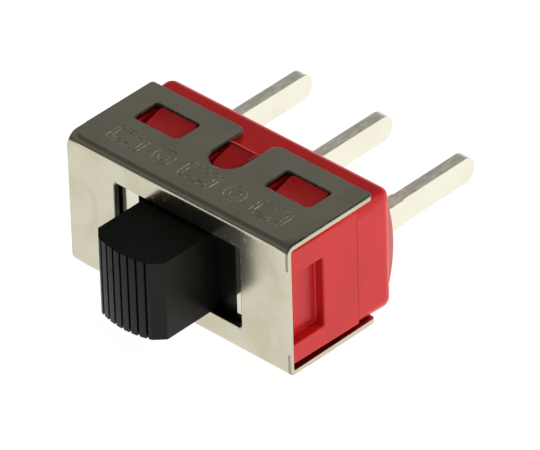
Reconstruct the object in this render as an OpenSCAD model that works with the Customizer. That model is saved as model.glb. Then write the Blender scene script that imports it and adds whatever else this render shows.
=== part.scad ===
// Miniature three-position slide switch with three flat printed-circuit pins.
// It lies on one long flange of its folded frame: +X runs along the slide, -Y towards
// the finger knob, +Y towards the pins and +Z up. The origin is the middle of the lower
// flange's outer face. Inside the modules y = 0 is the outer face of the front plate.

/* [Frame] */
// Length of the folded frame and of the case, along the slide
body_l = 12.7; // [12.1:0.1:14]
// Height of the frame over its two flanges
body_h = 6.6; // [6.4:0.1:7.4]
// Thickness of the frame's sheet
sheet_t = 0.25; // [0.2:0.01:0.28]
// Depth of the flanges, from the front plate's outer face
flange_d = 5.25; // [5:0.05:5.6]
// Outer radius of the two bends
bend_r = 0.35; // [0.3:0.05:0.6]
// Radius of the flanges' free corners
flange_corner_r = 0.4; // [0.2:0.05:0.6]
// Length of the slot that the knob travels in
slot_l = 7.2; // [6.6:0.1:7.4]
// Height of the front plate left above and below the slot
slot_margin = 1.25; // [1.15:0.05:1.35]
// Radius of the slot's corners
slot_corner_r = 0.2; // [0.1:0.05:0.3]
// Length of each catch window in the flanges
window_l = 2.5; // [2:0.1:2.8]
// Depth of each catch window
window_d = 1.42; // [1.2:0.02:1.6]
// Distance from the middle of the frame to the middle of a catch window
window_x = 3.77; // [3.4:0.01:4]
// Distance from the front plate's outer face to the middle of a catch window
window_y = 3.46; // [3.2:0.01:3.7]
// Radius of the catch windows' corners
window_corner_r = 0.16; // [0.1:0.02:0.3]
// Width of the keyway that is cut into each flange's free edge
notch_w = 1.68; // [1.4:0.02:2]
// Distance from the front plate's outer face to the keyway's round end
notch_y = 2.42; // [2.2:0.02:2.8]
// Radius where the keyway opens into the flange's edge
notch_mouth_r = 0.42; // [0.2:0.02:0.6]

/* [Case] */
// Distance from the front plate's outer face to the back of the moulded case
case_d = 6.45; // [6.15:0.05:7]
// Thickness of the case's end walls
end_wall = 0.75; // [0.65:0.05:0.85]
// Thickness of the case's long walls
side_wall = 0.62; // [0.5:0.02:0.7]
// Thickness of the case's floor, which carries the terminals
floor_t = 1.4; // [1.3:0.05:1.5]
// Thickness of the rim round the sealed recess in the back of the case
rim_t = 0.55; // [0.4:0.05:0.7]
// Radius of the case's long edges and of its two upright rear edges
case_edge_r = 0.32; // [0.2:0.02:0.4]
// Radius of the case's upper and lower rear edges
case_rear_r = 0.6; // [0.3:0.05:0.6]
// Distance from the front plate's outer face to the mould's parting line
parting_y = 4.22; // [4.1:0.02:4.5]
// Step at the parting line: how far the front of each end face is set back
parting_step = 0.04; // [0.02:0.01:0.1]
// Depth of the pocket in each end face
end_pocket_t = 0.4; // [0.2:0.05:0.45]
// Height of the pocket in each end face
end_pocket_h = 3.45; // [3:0.05:4]
// Distance from the front plate's outer face to the end pocket's back wall
end_pocket_y = 2.15; // [1.8:0.05:2.5]
// How far the catches and keys stop below the outer face of the flanges
catch_recess = 0.08; // [0.05:0.01:0.15]
// Rise of each catch and key from its front edge to its back edge
catch_ramp = 0.2; // [0.1:0.01:0.21]

/* [Knob and slider] */
// Width of the finger knob, along the slide
knob_w = 3.85; // [3.6:0.05:4]
// How far the middle of the knob stands out in front of the frame
knob_reach = 3.4; // [3:0.1:4.5]
// Radius of the knob's bulged face
knob_face_r = 4.3; // [3.5:0.1:8]
// Size of the flat facets at both ends of the knob's face
knob_facet = 0.46; // [0.3:0.02:0.6]
// Number of grip grooves
groove_count = 7; // [3:2:7]
// Spacing of the grip grooves
groove_pitch = 0.42; // [0.4:0.01:0.44]
// Radius of a grip groove
groove_r = 0.1; // [0.06:0.01:0.12]
// Thickness of the slider's plate, behind the front plate
plate_t = 0.75; // [0.6:0.05:0.9]
// Diameter of the spring bore in the slider
bore_d = 1.4; // [1.2:0.05:1.6]
// Wall round the spring bore
bore_wall = 0.42; // [0.35:0.01:0.5]
// Length of the bored boss behind the slider's plate
boss_l = 0.9; // [0.7:0.05:1]
// Depth of the spring bore, from the end of the boss
bore_depth = 3.6; // [3:0.1:3.8]

/* [Dust shutter] */
// Thickness of the shutter's sheet
shutter_t = 0.12; // [0.08:0.01:0.15]
// How far the shutter's window stands off centre with the knob in the middle
shutter_shift = 0.25; // [0:0.01:0.3]
// Length of the shutter's window
shutter_window_l = 5.58; // [5.5:0.01:5.7]
// Travel of the shutter each way
shutter_travel = 1.05; // [1:0.01:1.1]

/* [Contacts] */
// Width of a pin
pin_w = 1.25; // [1:0.05:1.4]
// Thickness of a pin
pin_t = 0.58; // [0.5:0.02:0.7]
// Distance from the front plate's outer face to the tips of the pins
pin_tip_y = 13; // [11:0.05:14]
// Length of a pin's tapered tip
tip_l = 0.85; // [0.6:0.05:1.2]
// Width left at the end of a pin's tip
tip_w = 0.5; // [0.3:0.05:0.7]
// Thickness of a pin where it leaves the seal
root_t = 0.7; // [0.7:0.02:0.8]
// Length of the thicker root outside the seal
root_l = 2.1; // [1.8:0.05:2.4]
// Width of a terminal's head inside the case
head_w = 2; // [1.6:0.1:2.4]
// Length of a terminal's head, from the case's floor
head_l = 0.55; // [0.45:0.05:0.6]
// Thickness of the silver contact on each end terminal
contact_t = 0.34; // [0.3:0.01:0.4]
// Size of the silver contact, along the slide
contact_l = 1.1; // [0.9:0.05:1.2]
// Thickness of the rocker's strip
rocker_t = 0.3; // [0.25:0.01:0.35]
// Width of the rocker's strip
rocker_w = 2.2; // [1.8:0.1:2.6]
// How far each end of the rocker runs past the middle of its contact
rocker_over = 0.15; // [0.05:0.01:0.25]
// Tilt of the rocker when it meets a contact, in degrees
rocker_tilt = 6; // [5:0.5:6.5]
// Radius of the ridge that the rocker pivots on
ridge_r = 0.22; // [0.18:0.01:0.26]
// Diameter of the plunger
plunger_d = 1.24; // [1.1:0.02:1.3]
// Distance from the front plate's outer face to the middle of the plunger's round tip
plunger_y = 2.5; // [2.4:0.05:2.6]
// Wire of the contact spring
wire_d = 0.16; // [0.12:0.01:0.2]
// Number of working turns of the contact spring
coils = 6; // [4:1:8]

/* [Seal] */
// Depth of the sealed recess in the back of the case
seal_t = 0.7; // [0.5:0.05:0.8]
// Height of the seal's bead behind the back of the case
bead_h = 0.3; // [0.15:0.05:0.4]
// Width of the seal's bead
bead_w = 4.1; // [3:0.1:4.5]

/* [Clearances] */
// Gap between the case and the inside of the frame
case_clear = 0.05; // [0.03:0.01:0.1]
// Gap between the catches or keys and the edges that they lock against
catch_clear = 0.08; // [0.05:0.01:0.12]
// Gap between each catch and the two ends of its window
catch_side = 0.2; // [0.1:0.01:0.3]
// Gap above and below the knob in the slot
knob_clear = 0.1; // [0.06:0.01:0.14]
// Gap left between the knob and each end of the slot
stop_clear = 0.075; // [0.05:0.005:0.1]
// Gap between the front plate and the shutter
shutter_gap = 0.12; // [0.08:0.01:0.15]
// Gap between sliding faces
slide_clear = 0.06; // [0.04:0.01:0.08]
// Gap between the plunger's tip and the rocker
ride_clear = 0.02; // [0.01:0.005:0.04]
// Gap between an end terminal's contact and the case's end wall
contact_clear = 0.35; // [0.3:0.01:0.5]
// Overlap of the shutter beyond the slot at the end of its travel
shutter_lap = 0.1; // [0.05:0.01:0.15]

/* [Hidden] */
fine = 48;
coarse = 32;
slack = 1;              // how far a cutting shape runs past the face it opens
mid_z = body_h / 2;

// Slot and the knob that stands in it
slot_h = body_h - 2 * slot_margin;
knob_h = slot_h - 2 * knob_clear;

// Case
case_low = sheet_t + case_clear;
case_h = body_h - 2 * case_low;
case_front = sheet_t + case_clear;
cavity_l = body_l - 2 * end_wall;
cavity_h = case_h - 2 * side_wall;
cavity_floor = case_d - floor_t;
catch_top = body_h / 2 - catch_recess;
pitch = cavity_l / 2 - contact_l / 2 - contact_clear;
rocker_half = pitch + rocker_over;

// Slider travel and the pieces that follow it
travel = (slot_l - knob_w) / 2 - stop_clear;
shutter_front = sheet_t + shutter_gap;
shutter_back = shutter_front + shutter_t;
shutter_half = slot_l / 2 + shutter_travel + shutter_lap;
shutter_h = slot_h + 6 * shutter_lap;
plate_front = shutter_back + slide_clear;
plate_back = plate_front + plate_t;
plate_half = shutter_window_l / 2 + shutter_shift - shutter_travel + travel + shutter_lap;
plate_h = shutter_h - 2 * shutter_lap;
boss_end = plate_back + boss_l;
boss_size = bore_d + 2 * bore_wall;
bore_end = boss_end - bore_depth;

// Plunger, rocker and pivot
tip_r = plunger_d / 2;
skirt_y = plunger_y - tip_r;
tail_d = plunger_d - 4 * wire_d;
dish_front = plunger_y + tip_r + ride_clear;
dish_back = dish_front + rocker_t;
pivot_y = dish_back + ridge_r / 3;
tilt_per_mm = rocker_tilt * PI / 180 / travel;
arm_h = pivot_y - plunger_y;
dish_curve = tilt_per_mm * (1 - arm_h * tilt_per_mm / 2) / pow(1 - arm_h * tilt_per_mm, 2);
dish_r = 1 / (2 * dish_curve) + tip_r + ride_clear;
dish_half = tip_r + travel;
dish_lip = 0.05;        // flat left on each side of the dish
dish_rise = dish_r - sqrt(dish_r * dish_r - pow(dish_half - dish_lip, 2));
ridge_land = ridge_r + 2 * rocker_t;

// Terminals and contacts
head_front = cavity_floor - head_l;
contact_front = head_front - contact_t;
crown_r = contact_l;
seal_front = case_d - seal_t;

// Rocker's arms: their backs just clear a contact's crown when the rocker is tipped
arm_y = dish_front - dish_rise;
crown_gap = 3 * ride_clear;
tipped_gap = contact_front - crown_gap - pivot_y - pitch * sin(rocker_tilt);
arm_back_y = pivot_y + tipped_gap / cos(rocker_tilt);
arm_slope = (arm_back_y - arm_y - rocker_t) / (pitch - dish_half);
tip_y = arm_y + (rocker_half - dish_half) * arm_slope;

// Shifts from the front plate's face to the part's origin, under the lower flange
module placed() {
    translate([0, -flange_d / 2, 0]) children();
}

// Turns an outline drawn in (y, z) so that it is extruded along x, centred
module along_x(l) {
    translate([-l / 2, 0, 0]) rotate([90, 0, 90]) linear_extrude(height = l) children();
}

// Extrudes an outline drawn in (x, y) along z, centred on the slot's height
module along_z(h) {
    translate([0, 0, mid_z - h / 2]) linear_extrude(height = h) children();
}

// Extrudes an outline drawn in (x, z) along y, from y0 to y1
module along_y(y0, y1) {
    translate([0, y1, 0]) rotate([90, 0, 0]) linear_extrude(height = y1 - y0) children();
}

// Rectangle centred on the origin with true arcs at its corners
module rounded(l, w, r) {
    square([l - 2 * r, w], center = true);
    square([l, w - 2 * r], center = true);
    for (x = [-1, 1], y = [-1, 1])
        translate([x * (l / 2 - r), y * (w / 2 - r)]) circle(r = r, $fn = fine);
}

// Square fillet: what is left of a corner outside its arc
module corner_waste(r) {
    difference() {
        square([r + slack, r + slack]);
        circle(r = r, $fn = fine);
    }
}

// ---------------------------------------------------------------- frame

// Section of the folded sheet, in (y, z)
module frame_section() {
    inner_r = bend_r - sheet_t;
    intersection() {
        difference() {
            translate([flange_d, mid_z]) rounded(2 * flange_d, body_h, bend_r);
            translate([flange_d, mid_z])
                rounded(2 * (flange_d - sheet_t), body_h - 2 * sheet_t, inner_r);
        }
        square([flange_d, body_h]);
    }
}

// Half of the keyway's flared mouth, on the +x side of its wall
module notch_mouth() {
    translate([notch_w / 2, flange_d - notch_mouth_r]) difference() {
        square([notch_mouth_r, notch_mouth_r + slack]);
        translate([notch_mouth_r, 0]) circle(r = notch_mouth_r, $fn = fine);
    }
}

module notch() {
    r = notch_w / 2;
    translate([0, notch_y + r]) circle(r = r, $fn = fine);
    translate([-r, notch_y + r]) square([notch_w, flange_d - notch_y - r + slack]);
    notch_mouth();
    mirror([1, 0]) notch_mouth();
}

module windows() {
    for (x = [-window_x, window_x])
        translate([x, window_y]) rounded(window_l, window_d, window_corner_r);
}

module flange_corners() {
    at = [body_l / 2 - flange_corner_r, flange_d - flange_corner_r];
    for (m = [0, 1]) mirror([m, 0]) translate(at) corner_waste(flange_corner_r);
}

module frame() {
    color("silver") placed() difference() {
        along_x(body_l) frame_section();
        along_z(body_h + 2 * slack) {
            windows();
            notch();
            flange_corners();
        }
        along_y(-slack, sheet_t + slack) translate([0, mid_z]) rounded(slot_l, slot_h, slot_corner_r);
    }
}

// ---------------------------------------------------------------- case

module case_outer() {
    intersection() {
        along_y(case_front, case_d)
            translate([0, mid_z]) rounded(body_l, case_h, case_edge_r);
        along_x(body_l + slack) intersection() {
            translate([0, mid_z]) rounded(2 * case_d, case_h, case_rear_r);
            translate([case_front + case_d, mid_z]) rounded(2 * case_d, case_h, bend_r - sheet_t);
        }
        along_z(body_h) rounded(body_l, 2 * case_d, case_edge_r);
    }
}

// Everything that is hollowed from the case's inside and back
module case_hollows() {
    along_y(case_front - slack, cavity_floor)
        translate([0, mid_z]) square([cavity_l, cavity_h], center = true);
    along_y(case_front - slack, plate_front)
        translate([0, mid_z])
            square([2 * (shutter_half + shutter_travel + slide_clear), shutter_h + 2 * slide_clear],
                   center = true);
    along_y(seal_front, case_d + slack)
        translate([0, mid_z]) rounded(body_l - 2 * rim_t, case_h - 2 * rim_t, case_edge_r);
    for (x = [-pitch, 0, pitch])
        along_y(cavity_floor - slack, case_d)
            translate([x, mid_z]) square([root_t, pin_w], center = true);
}

// Pocket in the end face on the +x side
module end_pocket() {
    translate([body_l / 2 - end_pocket_t, 0, mid_z - end_pocket_h / 2])
        cube([end_pocket_t + slack, end_pocket_y, end_pocket_h]);
}

// Shallow set-back of the +x end face, in front of the parting line
module parting_cut() {
    translate([body_l / 2 - parting_step, 0, 0]) cube([slack, parting_y, body_h]);
}

// Ramped catch that snaps into a window of the upper flange, section in (y, z)
module catch_section() {
    y0 = window_y - window_d / 2 + catch_clear;
    y1 = window_y + window_d / 2 - catch_clear;
    base = mid_z + case_h / 2 - side_wall / 2;
    top = mid_z + catch_top;
    polygon([[y0, base], [y1, base], [y1, top], [y0, top - catch_ramp]]);
}

// Ramped key that fills the keyway, round at its front
module key() {
    r = notch_w / 2 - catch_clear;
    y0 = notch_y + catch_clear;
    top = mid_z + catch_top;
    intersection() {
        translate([0, notch_y + notch_w / 2, mid_z]) {
            cylinder(r = r, h = catch_top, $fn = fine);
            translate([-r, 0, 0]) cube([2 * r, parting_y - notch_y - notch_w / 2, catch_top]);
        }
        along_x(notch_w) polygon([[y0, mid_z], [parting_y, mid_z], [parting_y, top], [y0, top - catch_ramp]]);
    }
}

// Catches and key of the upper flange, hollowed below by the case's own cavity
module catches() {
    for (x = [-window_x, window_x])
        translate([x, 0, 0]) along_x(window_l - 2 * catch_side) catch_section();
    key();
}

module case() {
    color("firebrick") placed() difference() {
        union() {
            case_outer();
            catches();
            translate([0, 0, body_h]) mirror([0, 0, 1]) catches();
        }
        case_hollows();
        for (m = [0, 1]) mirror([m, 0, 0]) {
            end_pocket();
            parting_cut();
        }
    }
}

// ---------------------------------------------------------------- seal

// Poured resin in the back of the case, with a low bead, round the three pins
module terminal_seal() {
    bead_l = body_l - rim_t;
    bead_r = (bead_w * bead_w / 4 + bead_h * bead_h) / (2 * bead_h);
    color("rosybrown") placed() difference() {
        union() {
            along_y(seal_front, case_d)
                translate([0, mid_z])
                    rounded(body_l - 2 * rim_t, case_h - 2 * rim_t, case_edge_r);
            intersection() {
                along_x(bead_l) translate([case_d + bead_h - bead_r, mid_z])
                    circle(r = bead_r, $fn = 2 * fine);
                along_z(body_h) translate([0, case_d + slack / 2])
                    square([bead_l, slack], center = true);
            }
        }
        for (x = [-pitch, 0, pitch])
            along_y(seal_front - slack, case_d + slack)
                translate([x, mid_z]) square([root_t, pin_w], center = true);
    }
}

// ---------------------------------------------------------------- terminals

// Pin's outline seen from its flat side, in (y, z)
module pin_outline() {
    half = pin_w / 2;
    polygon([
        [cavity_floor, mid_z - half], [pin_tip_y - tip_l, mid_z - half],
        [pin_tip_y - tip_l / 4, mid_z - tip_w / 2 - (half - tip_w / 2) / 2],
        [pin_tip_y, mid_z - tip_w / 2], [pin_tip_y, mid_z + tip_w / 2],
        [pin_tip_y - tip_l / 4, mid_z + tip_w / 2 + (half - tip_w / 2) / 2],
        [pin_tip_y - tip_l, mid_z + half], [cavity_floor, mid_z + half]
    ]);
}

// Root that fills the case's slot and ends in a short taper to the pin, in (x, y)
module root_outline() {
    taper = (root_t - pin_t) / 2;
    polygon([
        [-root_t / 2, head_front], [root_t / 2, head_front],
        [root_t / 2, case_d + root_l - 2 * taper], [pin_t / 2, case_d + root_l],
        [-pin_t / 2, case_d + root_l], [-root_t / 2, case_d + root_l - 2 * taper]
    ]);
}

module terminal(x) {
    color("gainsboro") placed() translate([x, 0, 0]) {
        along_x(pin_t) pin_outline();
        along_z(pin_w) root_outline();
        along_y(head_front, cavity_floor)
            translate([0, mid_z]) square([root_t, head_w], center = true);
    }
}

module terminal_left() { terminal(-pitch); }
module terminal_centre() { terminal(0); }
module terminal_right() { terminal(pitch); }

// Silver contact brazed to the head of an end terminal, with a crowned face
module end_contact(x) {
    color("whitesmoke") placed() translate([x, 0, 0]) intersection() {
        along_y(contact_front, head_front)
            translate([0, mid_z]) rounded(contact_l, head_w, contact_l / 4);
        along_z(head_w) translate([0, contact_front + crown_r]) circle(r = crown_r, $fn = 2 * fine);
    }
}

module end_contact_left() { end_contact(-pitch); }
module end_contact_right() { end_contact(pitch); }

// Bridge on the centre terminal's head with the round ridge that the rocker tips on
module pivot_saddle() {
    foot = root_t + 2 * rocker_t;
    color("tan") placed() along_z(rocker_w) {
        translate([0, pivot_y]) circle(r = ridge_r - ride_clear, $fn = fine);
        polygon([
            [-ridge_r + ride_clear, pivot_y], [ridge_r - ride_clear, pivot_y],
            [foot / 2, head_front - rocker_t / 2], [foot / 2, head_front],
            [-foot / 2, head_front], [-foot / 2, head_front - rocker_t / 2]
        ]);
    }
}

// Rocker's strip in (x, y): a dished middle that the plunger rides in, and two arms
module rocker_outline() {
    difference() {
        polygon([
            [-rocker_half, tip_y], [-dish_half, arm_y], [dish_half, arm_y], [rocker_half, tip_y],
            [rocker_half, tip_y + rocker_t], [dish_half, arm_y + rocker_t], [ridge_land, dish_back],
            [-ridge_land, dish_back], [-dish_half, arm_y + rocker_t], [-rocker_half, tip_y + rocker_t]
        ]);
        translate([0, dish_front - dish_r]) circle(r = dish_r, $fn = 4 * fine);
        translate([0, pivot_y]) circle(r = ridge_r, $fn = fine);
    }
}

module rocker() {
    color("gainsboro") placed() along_z(rocker_w) rocker_outline();
}

// ---------------------------------------------------------------- slider

// Knob's outline from above, in (x, y), before the grooves
module knob_outline() {
    half = knob_w / 2;
    intersection() {
        translate([0, knob_face_r - knob_reach]) circle(r = knob_face_r, $fn = 4 * fine);
        polygon([
            [-half, plate_front], [half, plate_front], [half, -facet_y()],
            [half - knob_facet, -facet_y() - knob_facet], [half - knob_facet, -knob_reach],
            [knob_facet - half, -knob_reach], [knob_facet - half, -facet_y() - knob_facet],
            [-half, -facet_y()]
        ]);
    }
}

// Depth of the bulged face beside the facets, and where each facet meets the knob's side
function face_drop() = knob_face_r - sqrt(pow(knob_face_r, 2) - pow(knob_w / 2 - knob_facet, 2));
function facet_y() = knob_reach - face_drop() - knob_facet;

// Grip grooves, spaced evenly and set on the bulged face
module knob_grooves() {
    for (i = [-(groove_count - 1) / 2 : (groove_count - 1) / 2]) {
        x = i * groove_pitch;
        y = knob_face_r - knob_reach - sqrt(pow(knob_face_r, 2) - x * x);
        translate([x, y]) circle(r = groove_r, $fn = fine);
    }
}

module slider() {
    color("#262624") placed() difference() {
        union() {
            along_z(knob_h) difference() {
                knob_outline();
                knob_grooves();
            }
            along_y(plate_front, plate_back)
                translate([0, mid_z]) rounded(2 * plate_half, plate_h, slot_corner_r);
            along_y(plate_back, boss_end)
                translate([0, mid_z]) rounded(boss_size, boss_size, bore_wall);
        }
        translate([0, boss_end + slack, mid_z]) rotate([90, 0, 0])
            cylinder(d = bore_d, h = bore_depth + slack, $fn = fine);
    }
}

// Plunger: a shank that the spring slips over, a skirt it pushes on, and a round nose
module plunger() {
    shank_l = bore_depth / 3;
    color("goldenrod") placed() translate([0, plunger_y, mid_z]) rotate([90, 0, 0]) {
        sphere(r = tip_r, $fn = fine);
        cylinder(r = tip_r, h = plunger_y - skirt_y, $fn = fine);
        cylinder(d = tail_d, h = plunger_y - skirt_y + shank_l, $fn = fine);
    }
}

// Contact spring: closed rings stand for its turns, joined by a thin straight run
module contact_spring() {
    spring_r = (plunger_d - wire_d) / 2 - slide_clear / 2;
    start = bore_end + wire_d / 2;
    end = skirt_y - wire_d / 2;
    step = (end - start) / (coils + 1);
    color("lightgray") placed() translate([0, 0, mid_z]) {
        for (i = [0 : coils + 1])
            translate([0, start + i * step, 0]) rotate([90, 0, 0])
                rotate_extrude($fn = coarse) translate([spring_r, 0]) circle(d = wire_d, $fn = 16);
        rotate([0, -60, 0]) translate([spring_r, end, 0]) rotate([90, 0, 0])
            cylinder(d = 0.7 * wire_d, h = end - start, $fn = 16);
    }
}

// ---------------------------------------------------------------- shutter

module shutter() {
    color("silver") placed() along_y(shutter_front, shutter_back) translate([0, mid_z]) difference() {
        square([2 * shutter_half, shutter_h], center = true);
        translate([shutter_shift, 0]) square([shutter_window_l, knob_h + 2 * slide_clear], center = true);
    }
}

frame();
case();
terminal_seal();
terminal_left();
terminal_centre();
terminal_right();
end_contact_left();
end_contact_right();
pivot_saddle();
rocker();
slider();
contact_spring();
plunger();
shutter();
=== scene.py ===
# %% [markdown]
# # A miniature slide switch, dressed for its portrait
#
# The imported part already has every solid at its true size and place. This lesson gives
# the ones that can be seen the small things that a real switch shows: edges rounded by a
# press, drafted pockets, a coiled spring, tin that is bright on the flats and grey where
# it was sheared. Each cell does one small job and prints what it made.

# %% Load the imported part
import math
import bmesh
import bpy
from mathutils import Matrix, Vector


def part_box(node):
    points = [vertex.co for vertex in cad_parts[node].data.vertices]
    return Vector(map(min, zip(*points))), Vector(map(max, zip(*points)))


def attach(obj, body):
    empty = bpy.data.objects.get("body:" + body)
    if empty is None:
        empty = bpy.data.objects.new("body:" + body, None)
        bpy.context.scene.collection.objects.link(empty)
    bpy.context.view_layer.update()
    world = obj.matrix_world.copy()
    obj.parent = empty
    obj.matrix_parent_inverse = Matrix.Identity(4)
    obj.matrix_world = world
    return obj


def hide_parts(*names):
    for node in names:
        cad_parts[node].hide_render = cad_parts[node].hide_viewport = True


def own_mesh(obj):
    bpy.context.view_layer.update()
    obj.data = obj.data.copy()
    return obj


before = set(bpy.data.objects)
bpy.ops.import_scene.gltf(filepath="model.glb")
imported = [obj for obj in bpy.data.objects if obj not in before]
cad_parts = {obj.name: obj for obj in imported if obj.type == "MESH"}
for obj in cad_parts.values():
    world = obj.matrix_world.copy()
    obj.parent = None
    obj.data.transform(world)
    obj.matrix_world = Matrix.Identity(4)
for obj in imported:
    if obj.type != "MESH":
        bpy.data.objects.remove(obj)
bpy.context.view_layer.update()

# %% [markdown]
# ## Measures
#
# Blender works in metres here and a switch is easier to think of in millimetres, so every
# length below is a number of millimetres times MM. The switch is described from the outer
# face of its front plate: depth 0 is that face, and depth grows towards the pins. The part
# itself says where that face is, how long the case is and how high the frame stands.

# %% Named measures
MM = 0.001
sheet_lo, sheet_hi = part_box("frame")
case_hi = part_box("case")[1]
FRONT = sheet_lo.y
HALF_L = sheet_hi.x
HEIGHT = sheet_hi.z
MID_Z = HEIGHT / 2
FLANGE = sheet_hi.y - FRONT
CASE_BACK = case_hi.y - FRONT
SHEET = 0.25 * MM
BEND = 0.35 * MM
SLOT_L, SLOT_H, SLOT_R = 7.2 * MM, HEIGHT - 2.5 * MM, 0.2 * MM
WINDOW = dict(x=3.77 * MM, y=3.46 * MM, length=2.5 * MM, depth=1.42 * MM)
NOTCH_W, NOTCH_Y = 1.68 * MM, 2.42 * MM
PARTING = 4.22 * MM
OVER = 1.0 * MM       # how far a tool reaches past what it cuts
MARGIN = OVER / 9     # slack of the tests that pick whole regions
pin_lo, pin_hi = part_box("terminal_right")
PITCH = (pin_lo.x + pin_hi.x) / 2
print(f"frame {HALF_L * 2 / MM:.2f} x {FLANGE / MM:.2f} x {HEIGHT / MM:.2f} mm,",
      f"case back at {CASE_BACK / MM:.2f} mm")

# %% [markdown]
# ## A few hand tools
#
# Operators act on whatever is selected, and loading the part leaves its nodes selected. So
# each tool below first lets go of everything. `block` places a cube at its size, `pick`
# selects by place or direction in edit mode, `round_edges` bevels what it picks, and
# `finish_with` adds a modifier and applies it. Making these once keeps each later cell short.

# %% Hand tools
def let_go():
    if bpy.context.object and bpy.context.object.mode != "OBJECT":
        bpy.ops.object.mode_set(mode="OBJECT")
    bpy.ops.object.select_all(action="DESELECT")


def hold(piece):
    let_go()
    piece.select_set(True)
    bpy.context.view_layer.objects.active = piece


def block(name, x, y, z):
    """A cube from x[0] to x[1], from depth y[0] to y[1] and from z[0] to z[1], in metres."""
    let_go()
    centre = ((x[0] + x[1]) / 2, FRONT + (y[0] + y[1]) / 2, (z[0] + z[1]) / 2)
    bpy.ops.mesh.primitive_cube_add(size=1, location=centre)
    bpy.ops.transform.resize(value=(x[1] - x[0], y[1] - y[0], z[1] - z[0]))
    bpy.ops.object.transform_apply(location=True, rotation=True, scale=True)
    bpy.context.object.name = name
    return bpy.context.object


def rod(name, centre, radius, length, along, sides=48):
    """A cylinder centred on (x, depth, z), lying along "x", "y" or "z"."""
    let_go()
    turn = {"x": (0, math.pi / 2, 0), "y": (math.pi / 2, 0, 0), "z": (0, 0, 0)}[along]
    place = (centre[0], FRONT + centre[1], centre[2])
    bpy.ops.mesh.primitive_cylinder_add(vertices=sides, radius=radius, depth=length,
                                        location=place, rotation=turn)
    bpy.ops.object.transform_apply(location=True, rotation=True, scale=True)
    bpy.context.object.name = name
    return bpy.context.object


def edit(piece):
    hold(piece)
    bpy.ops.object.mode_set(mode="EDIT")


def pick(kind, test):
    """In edit mode, selects each "VERT", "EDGE" or "FACE" whose (x, depth, z, element) passes."""
    bpy.ops.mesh.select_mode(type=kind)
    bpy.ops.mesh.select_all(action="DESELECT")
    mesh = bmesh.from_edit_mesh(bpy.context.object.data)
    found = 0
    for part in {"VERT": mesh.verts, "EDGE": mesh.edges, "FACE": mesh.faces}[kind]:
        if kind == "VERT":
            c = part.co
        elif kind == "EDGE":
            c = (part.verts[0].co + part.verts[1].co) / 2
        else:
            c = part.calc_center_median()
        if test(c.x, c.y - FRONT, c.z, part):
            part.select_set(True)
            found += 1
    bmesh.update_edit_mesh(bpy.context.object.data)
    return found


def round_edges(piece, width, segments, test):
    """Bevels the edges of the piece that the test picks, and returns how many they are."""
    edit(piece)
    found = pick("EDGE", test)
    bpy.ops.mesh.bevel(offset=width, segments=segments, affect="EDGES")
    bpy.ops.object.mode_set(mode="OBJECT")
    return found


def runs(edge, axis):
    """True if the edge lies along axis 0, 1 or 2."""
    d = edge.verts[1].co - edge.verts[0].co
    return d.length > 1e-9 and abs(d[axis]) / d.length > 0.999


def near(a, b, slack=0.004 * MM):
    return abs(a - b) < slack


def sharp(edge, angle=60):
    return len(edge.link_faces) == 2 and edge.calc_face_angle() > math.radians(angle)


def finish_with(piece, kind, **settings):
    hold(piece)
    modifier = piece.modifiers.new(kind.title(), kind)
    for key, value in settings.items():
        setattr(modifier, key, value)
    bpy.ops.object.modifier_apply(modifier=modifier.name)


def carve(piece, tool, how="DIFFERENCE"):
    """Takes tool away from piece, adds it, or keeps what both share, and clears the tool away."""
    finish_with(piece, "BOOLEAN", operation=how, object=tool, solver="EXACT")
    bpy.data.objects.remove(tool)


def soften(piece, width, segments=2, angle=32):
    finish_with(piece, "BEVEL", width=width, segments=segments, limit_method="ANGLE",
                angle_limit=math.radians(angle), miter_outer="MITER_ARC", use_clamp_overlap=True)


def weld(piece, distance=0.0005 * MM):
    edit(piece)
    bpy.ops.mesh.select_all(action="SELECT")
    bpy.ops.mesh.remove_doubles(threshold=distance)
    bpy.ops.mesh.dissolve_degenerate(threshold=distance / 5)
    bpy.ops.mesh.normals_make_consistent(inside=False)
    bpy.ops.object.mode_set(mode="OBJECT")


def copy_at(piece, x):
    """A copy of the piece with a mesh of its own, moved along x."""
    hold(piece)
    bpy.ops.object.duplicate()
    bpy.ops.transform.translate(value=(x, 0, 0))
    bpy.ops.object.transform_apply(location=True, rotation=True, scale=True)
    return bpy.context.object


def join(pieces):
    let_go()
    for piece in pieces:
        piece.select_set(True)
    bpy.context.view_layer.objects.active = pieces[0]
    bpy.ops.object.join()
    return bpy.context.object


def smooth(piece, angle=30):
    """Rounds the shading below the angle. The weighted normals keep large flat faces flat."""
    hold(piece)
    bpy.ops.object.shade_smooth_by_angle(angle=math.radians(angle))
    finish_with(piece, "WEIGHTED_NORMAL", weight=100, keep_sharp=True)


def put(piece, name, body, slot, *nodes):
    """Names a finished piece, says what it rides on and what it stands for, and prints its size."""
    piece.name = name
    piece.data.name = name
    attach(piece, body)
    if nodes:
        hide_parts(*nodes)
    size = piece.dimensions / MM
    print(f"{name}: {size.x:.2f} x {size.y:.2f} x {size.z:.2f} mm,", len(piece.data.polygons), "faces")
    return piece


# %% [markdown]
# ## The folded frame
#
# The frame is one strip of bright steel, blanked and then folded into a channel. It could
# be drawn as a thick solid and hollowed, but a real sheet has one thickness everywhere, so
# Solidify gives an open skin its wall. At both ends of a bend the metal can give way
# sideways and the bend is fuller there. The skin is therefore bridged between four open
# outlines: two with the wide bend of the ends and two with the tighter one between them.

# %% Fold the sheet
# radius of the upper and of the lower bend at the left end, in between and at the right end
END_BENDS = {-1: (0.62 * MM, 0.42 * MM), 0: (BEND, BEND), 1: (0.45 * MM, 0.36 * MM)}
END_RUN = 0.75 * MM


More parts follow.
